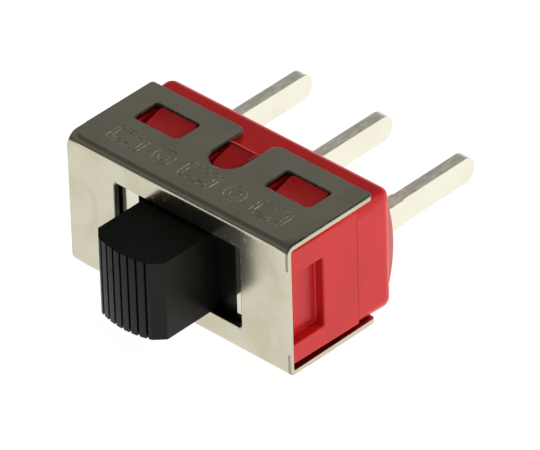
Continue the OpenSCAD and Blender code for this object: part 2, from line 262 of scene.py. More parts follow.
def channel_at(x, upper, lower):
    """An open outline of the channel at one place along it, with its two front corners rounded."""
    centre = (x, FRONT + FLANGE / 2, MID_Z)
    let_go()
    bpy.ops.mesh.primitive_plane_add(size=1, location=centre, rotation=(0, math.pi / 2, 0))
    bpy.ops.object.transform_apply(location=True, rotation=True, scale=True)
    edit(bpy.context.object)
    bpy.ops.mesh.select_all(action="SELECT")
    bpy.ops.transform.resize(value=(1, FLANGE, HEIGHT), center_override=centre)
    for level, bend in ((HEIGHT, upper), (0, lower)):
        pick("VERT", lambda px, py, pz, v: near(py, 0) and near(pz, level))
        bpy.ops.mesh.bevel(offset=bend, segments=12, affect="VERTICES")
    bpy.ops.mesh.select_all(action="SELECT")
    bpy.ops.mesh.delete(type="ONLY_FACE")
    pick("EDGE", lambda px, py, pz, e: near(py, FLANGE) and runs(e, 2))
    bpy.ops.mesh.delete(type="EDGE")
    bpy.ops.object.mode_set(mode="OBJECT")
    return bpy.context.object


ends = {-HALF_L: -1, -HALF_L + END_RUN: 0, HALF_L - END_RUN: 0, HALF_L: 1}
stations = sorted(ends)
sheet = join([channel_at(x, *END_BENDS[ends[x]]) for x in stations])
sheet.name = "sheet"
edit(sheet)
for here, there in zip(stations, stations[1:]):
    pick("EDGE", lambda x, y, z, e: not runs(e, 0) and (near(x, here) or near(x, there)))
    bpy.ops.mesh.bridge_edge_loops()
bpy.ops.mesh.select_all(action="SELECT")
bpy.ops.mesh.normals_make_consistent(inside=False)
bpy.ops.object.mode_set(mode="OBJECT")
plate = next(f for f in sheet.data.polygons if near(f.center.y, FRONT) and abs(f.normal.y) > 0.9)
inwards = -1 if plate.normal.y < 0 else 1
finish_with(sheet, "SOLIDIFY", thickness=SHEET, offset=inwards, use_even_offset=True)
weld(sheet)
print("stations bridged:", len(stations), "faces:", len(sheet.data.polygons))

# %% [markdown]
# Punches are blocks with rounded corners. Rounding the corner edges of the punch is far
# easier than rounding the hole afterwards, and it is what the toolmaker does as well. One
# punch goes through both flanges at once, because the upper and lower flange are alike.

# %% Punch the slot, the windows and the keyways
WINDOW_R, WORN_R = 0.12 * MM, 0.28 * MM
MOUTH_R, CORNER_R = 0.42 * MM, 0.2 * MM
FULL_ROUND = 0.999    # share of half the width that still leaves a sliver between two bevels


def punch(x, y, z, corner, along, corner_segments=6):
    """A block whose edges along axis 0, 1 or 2 are rounded."""
    tool = block("punch", x, y, z)
    round_edges(tool, corner, corner_segments, lambda px, py, pz, e: runs(e, along))
    return tool


def window_tool(mid):
    """The press has worn one corner of each window rounder than the other three."""
    x = (mid - WINDOW["length"] / 2, mid + WINDOW["length"] / 2)
    y = (WINDOW["y"] - WINDOW["depth"] / 2, WINDOW["y"] + WINDOW["depth"] / 2)
    tool = block("window", x, y, (-OVER, HEIGHT + OVER))
    round_edges(tool, WORN_R, 8, lambda px, py, pz, e: runs(e, 2) and near(px, x[1]) and near(py, y[0]))
    beside = WORN_R + 0.02 * MM
    round_edges(tool, WINDOW_R, 5, lambda px, py, pz, e: runs(e, 2)
                and not (px > x[1] - beside and py < y[0] + beside))
    return tool


tools = [punch((-SLOT_L / 2, SLOT_L / 2), (-OVER, SHEET + OVER / 2),
               (MID_Z - SLOT_H / 2, MID_Z + SLOT_H / 2), SLOT_R, 1),
         window_tool(-WINDOW["x"]), window_tool(WINDOW["x"])]
keyway = block("keyway", (-NOTCH_W / 2, NOTCH_W / 2), (NOTCH_Y, FLANGE + OVER), (-OVER, HEIGHT + OVER))
round_edges(keyway, NOTCH_W / 2 * FULL_ROUND, 16, lambda x, y, z, e: runs(e, 2) and near(y, NOTCH_Y))
tools.append(keyway)
carve(sheet, join(tools))
weld(sheet)
mouths = round_edges(sheet, MOUTH_R, 8, lambda x, y, z, e: runs(e, 2) and near(y, FLANGE)
                     and near(abs(x), NOTCH_W / 2))
corners = round_edges(sheet, CORNER_R, 6, lambda x, y, z, e: runs(e, 2) and near(y, FLANGE)
                      and near(abs(x), HALF_L))
print("keyway mouths rounded:", mouths, "flange corners rounded:", corners)

# %% [markdown]
# The upper flange carries a row of shallow coined outlines between the bend and the
# windows: oblongs and rings, as thin as a hair. Each is a flat ring that is pushed down
# through the skin and taken away, so it has real walls that catch the light.

# %% Coined outlines
COIN_DEPTH, COIN_LINE = 0.035 * MM, 0.06 * MM
COIN_Y = (0.95 * MM, 2.05 * MM)
COIN_TALL = COIN_Y[1] - COIN_Y[0]
OBLONG_X, OBLONG_L, OBLONG_R = (-4.1 * MM, 0, 4.1 * MM), 1.7 * COIN_TALL, (0.22 * MM, 0.12 * MM)
RING_X = (-2.05 * MM, 2.05 * MM)
INSET, RING_INSET = 0.2 * MM, 0.27 * MM


def coin(x, y, corner, segments):
    """A stamp for a thin line: an oblong, less the same oblong a line's width smaller."""
    z = (HEIGHT - COIN_DEPTH, HEIGHT + OVER)
    stamp = punch(x, y, z, corner, 2, segments)
    inner = punch((x[0] + COIN_LINE, x[1] - COIN_LINE), (y[0] + COIN_LINE, y[1] - COIN_LINE),
                  (z[0] - OVER, z[1] + OVER), corner - COIN_LINE, 2, segments)
    carve(stamp, inner)
    return stamp


def coin_ring(x, radius):
    place = (x, sum(COIN_Y) / 2, HEIGHT + OVER / 2)
    stamp = rod("stamp", place, radius, OVER + 2 * COIN_DEPTH, "z", 48)
    carve(stamp, rod("inner", place, radius - COIN_LINE, 2 * OVER, "z", 48))
    return stamp


stamps = []
for mid in OBLONG_X:
    left, right = mid - OBLONG_L / 2, mid + OBLONG_L / 2
    stamps.append(coin((left, right), COIN_Y, OBLONG_R[0], 5))
    stamps.append(coin((left + INSET, right - INSET), (COIN_Y[0] + INSET, COIN_Y[1] - INSET), OBLONG_R[1], 4))
for mid in RING_X:
    stamps.append(coin_ring(mid, COIN_TALL / 2))
    stamps.append(coin_ring(mid, COIN_TALL / 2 - RING_INSET))
for stamp in stamps:
    carve(sheet, stamp)
print("coined outlines:", len(stamps))

# %% [markdown]
# Punching rolls the outer edge of the sheet over and leaves the inner edge sharp. Folding
# then squeezes the metal at both ends of each bend, so the roll is widest there. Three
# planes cut the skin near the bends first, so that the edges beside them can take a wider
# bevel than the rest. The coined lines keep their sharp edges.

# %% Rolled edges
def on_skin(x, y, z):
    """True on the outer skin of the channel: the plate, the flanges or the outside of a bend."""
    upper, lower = END_BENDS[round(x / HALF_L)] if near(abs(x), HALF_L) else END_BENDS[0]
    bend, level = (upper, HEIGHT - z) if z > MID_Z else (lower, z)
    if y < bend and level < bend:
        return math.hypot(bend - y, bend - level) > bend - SHEET / 2
    return near(y, 0) or near(level, 0)


SWOLLEN = 1.15 * MM   # how far from a corner the metal is squeezed
WIDE_ROLL, ROLL, BREAK = 0.09 * MM, 0.06 * MM, 0.012 * MM
MARKED_HALF = 5.5 * MM
edit(sheet)
for height in (SWOLLEN, HEIGHT - SWOLLEN):
    bpy.ops.mesh.select_all(action="SELECT")
    bpy.ops.mesh.bisect(plane_co=(0, FRONT, height), plane_no=(0, 0, 1))
bpy.ops.mesh.select_all(action="SELECT")
bpy.ops.mesh.bisect(plane_co=(0, FRONT + SWOLLEN, 0), plane_no=(0, 1, 0))
bpy.ops.object.mode_set(mode="OBJECT")


def marked(x, y, z):
    """True on the edges of the coined lines, at their floors and at the flange's face."""
    in_row = COIN_Y[0] - MARGIN < y < COIN_Y[1] + MARGIN and abs(x) < MARKED_HALF
    return near(z, HEIGHT - COIN_DEPTH) or (in_row and near(z, HEIGHT))


wide = round_edges(sheet, WIDE_ROLL, 4, lambda x, y, z, e: near(abs(x), HALF_L) and on_skin(x, y, z)
                   and sharp(e) and y < SWOLLEN and min(z, HEIGHT - z) < SWOLLEN)
narrow = round_edges(sheet, ROLL, 3, lambda x, y, z, e: on_skin(x, y, z) and sharp(e)
                     and not marked(x, y, z))
soften(sheet, BREAK, segments=1, angle=50)
smooth(sheet)
frame_sheet = put(sheet, "frame_sheet", "housing", "frame_sheet", "frame")
print("edges rolled wide:", wide, "narrow:", narrow)

# %% [markdown]
# ## The moulded case
#
# The two halves of the mould leave different shapes. The rear half is a block with full
# rounds, which a bevel makes at once: each edge's bevel weight says how much of the width
# it takes. The front half leans a little so that it can be drawn out, and its corners are
# fuller near the parting line, so it is bridged between two outlines of different shape.

# %% Case body
FIT = 0.05 * MM       # play between the case and the sheet round it
CASE_X, CASE_FRONT = case_hi.x, SHEET + FIT
LOW, HIGH = SHEET + FIT, HEIGHT - SHEET - FIT
PARTING_STEP = 0.014 * MM
REAR_ROUND = 0.6 * MM


def outline_at(depth, half_x, z, upper_r, lower_r):
    """A loop of edges at one depth: an oblong with round corners, seen from the front."""
    centre = (0, FRONT + depth, (z[0] + z[1]) / 2)
    let_go()
    bpy.ops.mesh.primitive_plane_add(size=1, location=centre, rotation=(math.pi / 2, 0, 0))
    bpy.ops.object.transform_apply(location=True, rotation=True, scale=True)
    loop = bpy.context.object
    edit(loop)
    bpy.ops.mesh.select_all(action="SELECT")
    bpy.ops.transform.resize(value=(2 * half_x, 1, z[1] - z[0]), center_override=centre)
    for level, radius in ((z[1], upper_r), (z[0], lower_r)):
        pick("VERT", lambda px, py, pz, v: near(pz, level))
        bpy.ops.mesh.bevel(offset=radius, segments=6, affect="VERTICES")
    bpy.ops.mesh.select_all(action="SELECT")
    bpy.ops.mesh.delete(type="ONLY_FACE")
    bpy.ops.object.mode_set(mode="OBJECT")
    return loop


front_end = outline_at(CASE_FRONT, CASE_X - 0.05 * MM, (0.5 * MM, HIGH), 0.13 * MM, 0.1 * MM)
parting_end = outline_at(PARTING + 0.03 * MM, CASE_X - PARTING_STEP, (0.36 * MM, HIGH), 0.28 * MM, 0.2 * MM)
case = join([front_end, parting_end])
edit(case)
bpy.ops.mesh.select_all(action="SELECT")
bpy.ops.mesh.bridge_edge_loops()
bpy.ops.mesh.select_all(action="SELECT")
bpy.ops.mesh.fill_holes(sides=0)
bpy.ops.mesh.normals_make_consistent(inside=False)
round_edges(case, BEND - SHEET, 4, lambda x, y, z, e: runs(e, 0) and near(y, CASE_FRONT))
rear = block("rear_half", (-CASE_X, CASE_X), (PARTING, CASE_BACK), (LOW, HIGH))
edit(rear)
for axis, share in ((0, 0.75), (1, 0.83), (2, 0.9)):
    pick("EDGE", lambda x, y, z, e: runs(e, axis) and y > PARTING + MARGIN)
    bpy.ops.transform.edge_bevelweight(value=share)
pick("EDGE", lambda x, y, z, e: runs(e, 2) and near(y, PARTING))
bpy.ops.transform.edge_bevelweight(value=0.06)
bpy.ops.object.mode_set(mode="OBJECT")
finish_with(rear, "BEVEL", width=REAR_ROUND, segments=8, limit_method="WEIGHT")
carve(case, rear, "UNION")
weld(case)
print("case body faces:", len(case.data.polygons))

# %% [markdown]
# Each end has a shallow pocket that keeps the wall thin, so that the plastic doesn't sink
# as it cools. The pocket's tool is drafted, which means its sides lean so that it can be
# pulled out, and its corners are round. The block for it is grown on its outer face. The
# rim of each pocket is rounded once the tool has been taken away.

# %% End pockets
POCKET_Y, POCKET_Z, POCKET_T = 2.13 * MM, (1.6 * MM, 4.92 * MM), 0.47 * MM
DRAFT_Y, DRAFT_Z = 0.15 * MM, 1.16
POCKET_R = 0.07 * MM


def pocket_tool(side):
    inner, outer = CASE_X - POCKET_T, CASE_X + OVER
    x = (inner, outer) if side > 0 else (-outer, -inner)
    tool = block("pocket", x, (-OVER, POCKET_Y), POCKET_Z)
    edit(tool)
    pick("FACE", lambda px, py, pz, f: near(abs(px), outer))
    bpy.ops.transform.translate(value=(0, DRAFT_Y, 0))
    bpy.ops.transform.resize(value=(1, 1, DRAFT_Z), center_override=(0, FRONT, sum(POCKET_Z) / 2))
    round_edges(tool, POCKET_R, 4, lambda px, py, pz, e: py > -OVER / 2 and not near(abs(px), outer))
    return tool


def on_rim(x, y, z):
    """True near the rim of either pocket, on the outer face of the case's end."""
    return (abs(x) > CASE_X - 0.06 * MM and CASE_FRONT + 0.05 * MM < y < POCKET_Y + 0.12 * MM
            and POCKET_Z[0] - 0.2 * MM < z < POCKET_Z[1] + 0.2 * MM)


for side in (-1, 1):
    carve(case, pocket_tool(side))
weld(case)
rim = round_edges(case, POCKET_R, 4, lambda x, y, z, e: on_rim(x, y, z) and sharp(e))
print("case with pockets:", len(case.data.polygons), "faces, rim edges", rim)

# %% [markdown]
# Dark gaps show beside the catches and the keys. A moulder could leave such a moat so that
# a catch can give a little when the frame is pressed on. Here one is cut at the left end
# of each window and one round each key, a little wider than the hole in the sheet above.

# %% Moats
MOAT, RIM, MOAT_L = 0.42 * MM, 0.06 * MM, 0.35 * MM
moat_y = (WINDOW["y"] - WINDOW["depth"] / 2 - RIM, WINDOW["y"] + WINDOW["depth"] / 2 + RIM / 2)
wide = NOTCH_W / 2 + RIM
for level in ((HIGH - MOAT, HEIGHT + OVER), (-OVER, HEIGHT - HIGH + MOAT + 0.1 * MM)):
    for mid in (-WINDOW["x"], WINDOW["x"]):
        left = mid - WINDOW["length"] / 2
        carve(case, block("moat", (left - RIM, left + MOAT_L), moat_y, level))
    moat = block("moat", (-wide, wide), (NOTCH_Y - RIM, PARTING - 0.02 * MM), level)
    round_edges(moat, wide * FULL_ROUND, 16, lambda x, y, z, e: runs(e, 2) and near(y, NOTCH_Y - RIM))
    carve(case, moat)
weld(case)
print("case with moats:", len(case.data.polygons), "faces")

# %% [markdown]
# Four ramped catches snap into the windows and two keys fill the keyways. Each ramp is low
# at the front, where it slides under the flange, and high at the back. A catch stands a
# little way from the left end of its window. It is made once, in the middle, and copied.

# %% Catches and keys
RAMP_TOP, RAMP = HEIGHT - 0.05 * MM, 0.36 * MM
GAP = 0.08 * MM
ROOT_Z = HIGH - 0.5 * MM    # the roots go deep enough to join the case below the moats
LEFT_R, RIGHT_R, TOP_R = 0.16 * MM, 0.1 * MM, 0.035 * MM
RING_R, RING_HOLE, RING_CUT = 0.12 * MM, 0.075 * MM, 0.16 * MM
CATCH_X = (-WINDOW["length"] / 2 + 0.3 * MM, WINDOW["length"] / 2 - 0.12 * MM)
CATCH_Y = (WINDOW["y"] - WINDOW["depth"] / 2 + GAP / 2, WINDOW["y"] + WINDOW["depth"] / 2 - GAP / 3)


def slope_down(front):
    """Presses the upper edge at the front of the piece in hand down by the ramp's rise."""
    pick("EDGE", lambda px, py, pz, e: runs(e, 0) and near(py, front) and near(pz, RAMP_TOP))
    bpy.ops.transform.translate(value=(0, 0, -RAMP))


catch = block("catch", CATCH_X, CATCH_Y, (ROOT_Z, RAMP_TOP))
edit(catch)
slope_down(CATCH_Y[0])
round_edges(catch, LEFT_R, 5, lambda x, y, z, e: runs(e, 2) and x < 0)
round_edges(catch, RIGHT_R, 4, lambda x, y, z, e: runs(e, 2) and near(x, CATCH_X[1]))
round_edges(catch, TOP_R, 3, lambda x, y, z, e: z > HIGH and sharp(e, 50))
mark = (CATCH_X[0] + 0.28 * MM, CATCH_Y[1] - 0.33 * MM, RAMP_TOP)
ring = rod("ring", mark, RING_R, RING_CUT, "z", 20)
carve(ring, rod("core", mark, RING_HOLE, MM, "z", 20))
carve(catch, ring)
weld(catch)
print("catch faces:", len(catch.data.polygons))

# %% [markdown]
# The key's front is rounded with a bevel as wide as half its width. Where the two halves
# of the mould meet, at the key's rear edge, a thin ridge of flash is left, and it runs on
# a little way along the key's right side.

# %% Key with its flash
half, key_front = NOTCH_W / 2 - GAP, NOTCH_Y + 1.6 * GAP
SHY = 0.1 * MM        # how much further the key stands from the left side of its keyway
KEY_TOP_R = 0.06 * MM
key = block("key", (-half + SHY, half), (key_front, PARTING), (ROOT_Z, RAMP_TOP))
edit(key)
slope_down(key_front)
round_edges(key, (half - SHY / 2) * FULL_ROUND, 14,
            lambda x, y, z, e: runs(e, 2) and near(y, key_front))
round_edges(key, KEY_TOP_R, 3, lambda x, y, z, e: z > HIGH and sharp(e, 50))
FLASH_Z = ROOT_Z + 0.05 * MM    # no face of the flash may share a plane with one of the key
flash = [block("flash", (-half, half + 0.02 * MM), (PARTING - 0.07 * MM, PARTING + 0.01 * MM),
               (FLASH_Z, RAMP_TOP + 0.03 * MM)),
         block("flash", (half - 0.04 * MM, half + 0.015 * MM), (PARTING - 0.6 * MM, PARTING - 0.02 * MM),
               (FLASH_Z + 0.01 * MM, RAMP_TOP + 0.02 * MM))]
for ridge in flash:
    carve(key, ridge, "UNION")
weld(key)
print("key faces:", len(key.data.polygons))

# %% [markdown]
# Both windows of a flange take the same catch, so it is copied, and the lower flange has
# the same three lugs upside down, so all of them are copied once more and mirrored about
# the middle. A mirrored mesh is inside out until its normals are made consistent again.

# %% Copy the lugs and join them to the case
upper = [key, *(copy_at(catch, mid) for mid in (-WINDOW["x"], WINDOW["x"]))]
bpy.data.objects.remove(catch)
for piece in list(upper):
    hold(piece)
    bpy.ops.object.duplicate()
    turned = bpy.context.object
    edit(turned)
    bpy.ops.mesh.select_all(action="SELECT")
    bpy.ops.transform.mirror(constraint_axis=(False, False, True), center_override=(0, 0, MID_Z))
    bpy.ops.mesh.normals_make_consistent(inside=False)
    bpy.ops.object.mode_set(mode="OBJECT")
    upper.append(turned)
carve(case, join(upper), "UNION")
weld(case)
print("case with catches:", len(case.data.polygons), "faces")

# %% [markdown]
# Inside there is a cavity for the slider and the contacts, a shallow bed for the dust
# shutter, a sealed recess at the back and three slots for the pins. None of it shows in
# the portrait, but the moving pieces need the room, and the case looks right when open.

# %% Hollows and slots
FLOOR = CASE_BACK - 1.4 * MM
SEAL = CASE_BACK - 0.7 * MM
END_WALL = 0.75 * MM
WALL_IN = LOW + 0.62 * MM
BED_HALF, BED_BACK, BED_TALL = 5.86 * MM, 0.55 * MM, 2.41 * MM
ROOT_T, PIN_W = 0.7 * MM, 1.25 * MM
PIN_Z = (MID_Z - PIN_W / 2, MID_Z + PIN_W / 2)
carve(case, block("cavity", (-CASE_X + END_WALL, CASE_X - END_WALL), (-OVER, FLOOR),
                  (WALL_IN, HEIGHT - WALL_IN)))
carve(case, block("shutter_bed", (-BED_HALF, BED_HALF), (-OVER, BED_BACK),
                  (MID_Z - BED_TALL, MID_Z + BED_TALL)))
RECESS_X, RECESS_Z = (-CASE_X + 0.55 * MM, CASE_X - 0.55 * MM), (0.85 * MM, HEIGHT - 0.85 * MM)
RECESS_R = 0.32 * MM
carve(case, punch(RECESS_X, (SEAL, CASE_BACK + OVER), RECESS_Z, RECESS_R, 1))
for mid in (-PITCH, 0, PITCH):
    carve(case, block("pin_slot", (mid - ROOT_T / 2, mid + ROOT_T / 2),
                      (FLOOR - OVER / 2, SEAL + OVER / 2), PIN_Z))
weld(case)
soften(case, 0.025 * MM, segments=2, angle=50)
smooth(case, 38)
moulded_case = put(case, "moulded_case", "housing", "red_case", "case")

# %% [markdown]
# Clear resin is poured into the recess at the back. It stands a little proud in a low
# round bead and climbs up each pin, because a liquid wets metal. The bead is the part of
# a large cylinder that stands out of the case, and each climb is a block with its upper
# edges bevelled away.

# %% Poured resin
BEAD_H, BEAD_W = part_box("terminal_seal")[1].y - FRONT - CASE_BACK, 4.1 * MM
CLIMB, CLIMB_W, CLIMB_R = 0.12 * MM, 0.2 * MM, 0.15 * MM
bead_r = (BEAD_W ** 2 / 4 + BEAD_H ** 2) / (2 * BEAD_H)
bead = rod("bead", (0, CASE_BACK + BEAD_H - bead_r, MID_Z), bead_r, 2 * CASE_X - 0.6 * MM, "x", 256)
proud = block("proud", (-CASE_X, CASE_X), (CASE_BACK - 0.02 * MM, CASE_BACK + OVER), (0, HEIGHT))
carve(bead, proud, "INTERSECT")
resin_fill = punch(RECESS_X, (SEAL, CASE_BACK - 0.01 * MM), RECESS_Z, RECESS_R, 1)
carve(resin_fill, bead, "UNION")
for mid in (-PITCH, 0, PITCH):
    climb = block("climb", (mid - ROOT_T / 2 - CLIMB_W, mid + ROOT_T / 2 + CLIMB_W),
                  (CASE_BACK - 0.1 * MM, CASE_BACK + BEAD_H + CLIMB),
                  (PIN_Z[0] - CLIMB_W, PIN_Z[1] + CLIMB_W))
    edit(climb)
    pick("EDGE", lambda x, y, z, e: runs(e, 1))
    bpy.ops.mesh.bevel(offset=CLIMB_R, segments=4, affect="EDGES")
    pick("EDGE", lambda x, y, z, e: y > CASE_BACK + BEAD_H and not runs(e, 1))
    bpy.ops.mesh.bevel(offset=CLIMB, segments=4, profile=0.25, affect="EDGES")
    bpy.ops.object.mode_set(mode="OBJECT")
    carve(resin_fill, climb, "UNION")
    hole = block("hole", (mid - ROOT_T / 2, mid + ROOT_T / 2), (SEAL - OVER, CASE_BACK + OVER), PIN_Z)
    carve(resin_fill, hole)
weld(resin_fill)
smooth(resin_fill, 30)
resin_seal = put(resin_fill, "resin_seal", "housing", "resin_seal", "terminal_seal")

# %% [markdown]
# ## The knob and its slider
#
# The knob's face bulges so that a fingertip finds its middle, and it is grooved for grip.
# The bulge is what a block shares with a large cylinder. A block turned by 45 degrees cuts
# the facet on either side. Seven thin blades then plough the grooves, each set on the
# bulge. They are much narrower than the ribs that they leave, and a small bevel rounds the
# ribs' edges.

# %% Ribbed knob
KNOB_W, KNOB_H, REACH, FACE_R = 3.85 * MM, SLOT_H - 0.2 * MM, 3.4 * MM, 4.3 * MM
FACET, GROOVE_W, GROOVE_DEPTH, GROOVE_PITCH = 0.46 * MM, 0.11 * MM, 0.13 * MM, 0.42 * MM
PLATE_Y, PLATE_BACK, BOSS_END = 0.55 * MM, 1.3 * MM, 2.2 * MM
OVERLAP = 0.1 * MM    # how far the blocks of the slider run into each other
knob = block("knob", (-KNOB_W / 2, KNOB_W / 2), (-REACH, PLATE_Y + OVERLAP),
             (MID_Z - KNOB_H / 2, MID_Z + KNOB_H / 2))
carve(knob, rod("bulge", (0, FACE_R - REACH, MID_Z), FACE_R, KNOB_H * 2, "z", 384), "INTERSECT")
weld(knob)
drop = FACE_R - math.sqrt(FACE_R ** 2 - (KNOB_W / 2 - FACET) ** 2)
facet_x, facet_y = KNOB_W / 2 - FACET / 2, REACH - drop - FACET / 2
for side in (-1, 1):
    wedge = block("wedge", (-OVER, OVER), (-OVER, OVER), (-OVER, HEIGHT + OVER))
    edit(wedge)
    bpy.ops.mesh.select_all(action="SELECT")
    bpy.ops.transform.rotate(value=math.radians(45), orient_axis="Z", center_override=(0, FRONT, 0))
    outwards = OVER / math.sqrt(2)
    bpy.ops.transform.translate(value=(side * (facet_x + outwards), -facet_y - outwards, 0))
    bpy.ops.object.mode_set(mode="OBJECT")
    carve(knob, wedge)
grooves = []
for i in range(-3, 4):
    gx = i * GROOVE_PITCH
    gy = FACE_R - REACH - math.sqrt(FACE_R ** 2 - gx ** 2)
    groove = block("groove", (gx - GROOVE_W / 2, gx + GROOVE_W / 2), (gy - OVER, gy + GROOVE_DEPTH),
                   (-OVER, HEIGHT + OVER))
    round_edges(groove, GROOVE_W / 2 * 0.99, 3, lambda x, y, z, e: runs(e, 2) and near(y, gy + GROOVE_DEPTH))
    grooves.append(groove)
carve(knob, join(grooves))
weld(knob)
print("knob faces:", len(knob.data.polygons))

# %% [markdown]
# Behind the front plate the knob widens into a flat plate, which the shutter slides on,
# and into a bored boss for the spring. All of it is one black moulding, so the blocks are
# joined with a union before the edges are softened.

# %% Slider plate, boss and bore
PLATE_HALF, PLATE_TALL, PLATE_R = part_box("slider")[1].x, 2.25 * MM, 0.2 * MM
BOSS, BOSS_R = 1.12 * MM, 0.42 * MM
BORE_R, BORE_MID, BORE_L = 0.7 * MM, BOSS_END - 1.3 * MM, 4.6 * MM
plate = punch((-PLATE_HALF, PLATE_HALF), (PLATE_Y, PLATE_BACK),
              (MID_Z - PLATE_TALL, MID_Z + PLATE_TALL), PLATE_R, 1)
boss = punch((-BOSS, BOSS), (PLATE_BACK - OVERLAP, BOSS_END), (MID_Z - BOSS, MID_Z + BOSS), BOSS_R, 1)
carve(knob, plate, "UNION")
carve(knob, boss, "UNION")
weld(knob)
carve(knob, rod("bore", (0, BORE_MID, MID_Z), BORE_R, BORE_L, "y", 48))
weld(knob)
soften(knob, 0.03 * MM, segments=3, angle=33)
smooth(knob, 35)
knob_slider = put(knob, "knob_slider", "slide", "black_knob", "slider")

# %% [markdown]
# ## The pins
#
# The three terminals are blanked from sheet and tinned, and the two wide faces are smooth
# while the narrow ones keep the grain of the shear. One pin is modelled: a block for the
# root, one for the blade with its tip rounded off, and one for the head inside the case.

# %% One pin, then two copies
PIN_TIP, PIN_T = pin_hi.y - FRONT, 0.58 * MM
TIP_R, ROOT_R = 0.52 * MM, 0.05 * MM
HEAD = FLOOR - 0.55 * MM
ROOT_END = CASE_BACK + 2.1 * MM
blade = block("blade", (-PIN_T / 2, PIN_T / 2), (HEAD + 0.1 * MM, PIN_TIP), PIN_Z)
edit(blade)
pick("EDGE", lambda x, y, z, e: runs(e, 0) and near(y, PIN_TIP))
bpy.ops.mesh.bevel(offset=TIP_R, segments=8, profile=0.46, affect="EDGES")
bpy.ops.object.mode_set(mode="OBJECT")
root = block("root", (-ROOT_T / 2, ROOT_T / 2), (HEAD, ROOT_END), PIN_Z)
round_edges(root, ROOT_R, 2, lambda x, y, z, e: runs(e, 2) and y > CASE_BACK)
head = block("head", (-ROOT_T / 2, ROOT_T / 2), (HEAD, FLOOR), (MID_Z - MM, MID_Z + MM))
carve(blade, root, "UNION")
carve(blade, head, "UNION")
weld(blade)
soften(blade, 0.03 * MM, segments=3)
smooth(blade)
pins = []
for mid, side in ((-PITCH, "left"), (0, "centre"), (PITCH, "right")):
    pins.append(put(copy_at(blade, mid), f"pin_{side}", "housing", "tinned_pin", f"terminal_{side}"))
bpy.data.objects.remove(blade)

# %% [markdown]
# ## The contact spring
#
# The imported part draws the spring as closed rings, which is enough for its mass. A real one is a single
# wire, so a small circle is swept round and along the bore by the Screw modifier. Two turns at each end lie
# flat and close, and the others are open.

# %% Coiled spring
spring_lo, spring_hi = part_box("contact_spring")
WIRE = 0.16 * MM
COIL_R = (spring_hi.x - spring_lo.x - WIRE) / 2
LENGTH = spring_hi.y - spring_lo.y
CLOSE, END_TURNS, TURNS = WIRE * 1.03, 2, 4


def coil(start, turns, rise):
    """Wire wound round the y axis, from y = start, in whole turns that rise by the same step."""
    let_go()
    bpy.ops.mesh.primitive_circle_add(vertices=10, radius=WIRE / 2, location=(COIL_R, start, 0))
    bpy.ops.object.transform_apply(location=True, rotation=True, scale=True)
    finish_with(bpy.context.object, "SCREW", axis="Y", angle=math.tau, screw_offset=rise,
                iterations=turns, steps=28, render_steps=28)
    return bpy.context.object


first = spring_lo.y + WIRE / 2
spread = LENGTH - WIRE - 2 * END_TURNS * CLOSE
opens = first + END_TURNS * CLOSE
stretches = [coil(first, END_TURNS, CLOSE), coil(opens, TURNS, spread / TURNS),
             coil(opens + spread, END_TURNS, CLOSE)]
spring = join(stretches)
bpy.ops.transform.translate(value=(0, 0, MID_Z))
bpy.ops.object.transform_apply(location=True, rotation=True, scale=True)
edit(spring)
bpy.ops.mesh.select_all(action="SELECT")
bpy.ops.mesh.remove_doubles(threshold=0.0005 * MM)
bpy.ops.mesh.fill_holes(sides=0)
bpy.ops.mesh.normals_make_consistent(inside=False)
bpy.ops.object.mode_set(mode="OBJECT")
smooth(spring, 60)
contact_coil = put(spring, "contact_coil", "slide", "spring_wire", "contact_spring")
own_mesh(contact_coil)
print(f"spring: {2 * END_TURNS + TURNS} turns, {LENGTH / MM:.2f} mm long, wire {WIRE / MM:.2f} mm")

# %% [markdown]
# ## The camera
#
# A long lens from the upper right shows the front, the top and the right end. It is set
# before the finishes and the lamps, because they are judged through it. The camera's own
# axes are given as a turn, and it stands about 0.3 m away, where the perspective is gentle.

# %% Camera
camera_data = bpy.data.cameras.new("portrait")
camera_data.lens = 500.32
camera_data.sensor_width = 36
camera_data.clip_start, camera_data.clip_end = 0.01, 10
camera = bpy.data.objects.new("portrait", camera_data)
bpy.context.scene.collection.objects.link(camera)
camera.location = (180.235 * MM, FRONT - 179.784 * MM, 186.612 * MM)
camera.rotation_euler = [math.radians(a) for a in (54.4369, 1.4217, 43.1769)]
bpy.context.scene.camera = camera
print("camera stands", round(camera.location.length, 4), "m away")

# %% [markdown]
# ## Shared effects
#
# Four effects are used by more than one finish, so each is a node group with named
# sockets: the smudges that fingers leave, the fine lines of a rolled or drawn metal, the
# torn streaks of a sheared edge, and the skin of a moulding. They read Object coordinates
# in metres, so their grain stays the same size on every piece and doesn't slide when a
# piece moves.

# %% Node groups
def new_group(name, inputs, outputs):
    group = bpy.data.node_groups.new(name, "ShaderNodeTree")
    for label, kind, value in inputs:
        socket = group.interface.new_socket(label, in_out="INPUT", socket_type=kind)
        if value is not None:
            socket.default_value = value
    for label in outputs:
        group.interface.new_socket(label, in_out="OUTPUT", socket_type="NodeSocketFloat")
    return group, group.nodes.new("NodeGroupInput"), group.nodes.new("NodeGroupOutput")


def noise(tree, vector, scale, detail=3.0, roughness=0.5, distortion=0.0):
    node = tree.nodes.new("ShaderNodeTexNoise")
    node.inputs["Scale"].default_value = scale
    node.inputs["Detail"].default_value = detail
    node.inputs["Roughness"].default_value = roughness
    node.inputs["Distortion"].default_value = distortion
    tree.links.new(vector, node.inputs["Vector"])
    return node.outputs["Fac"]


def remap(tree, value, low, high, to_low=0.0, to_high=1.0):
    node = tree.nodes.new("ShaderNodeMapRange")
    node.interpolation_type = "SMOOTHSTEP"
    for label, number in (("From Min", low), ("From Max", high), ("To Min", to_low), ("To Max", to_high)):
        node.inputs[label].default_value = number
    tree.links.new(value, node.inputs["Value"])
    return node.outputs["Result"]


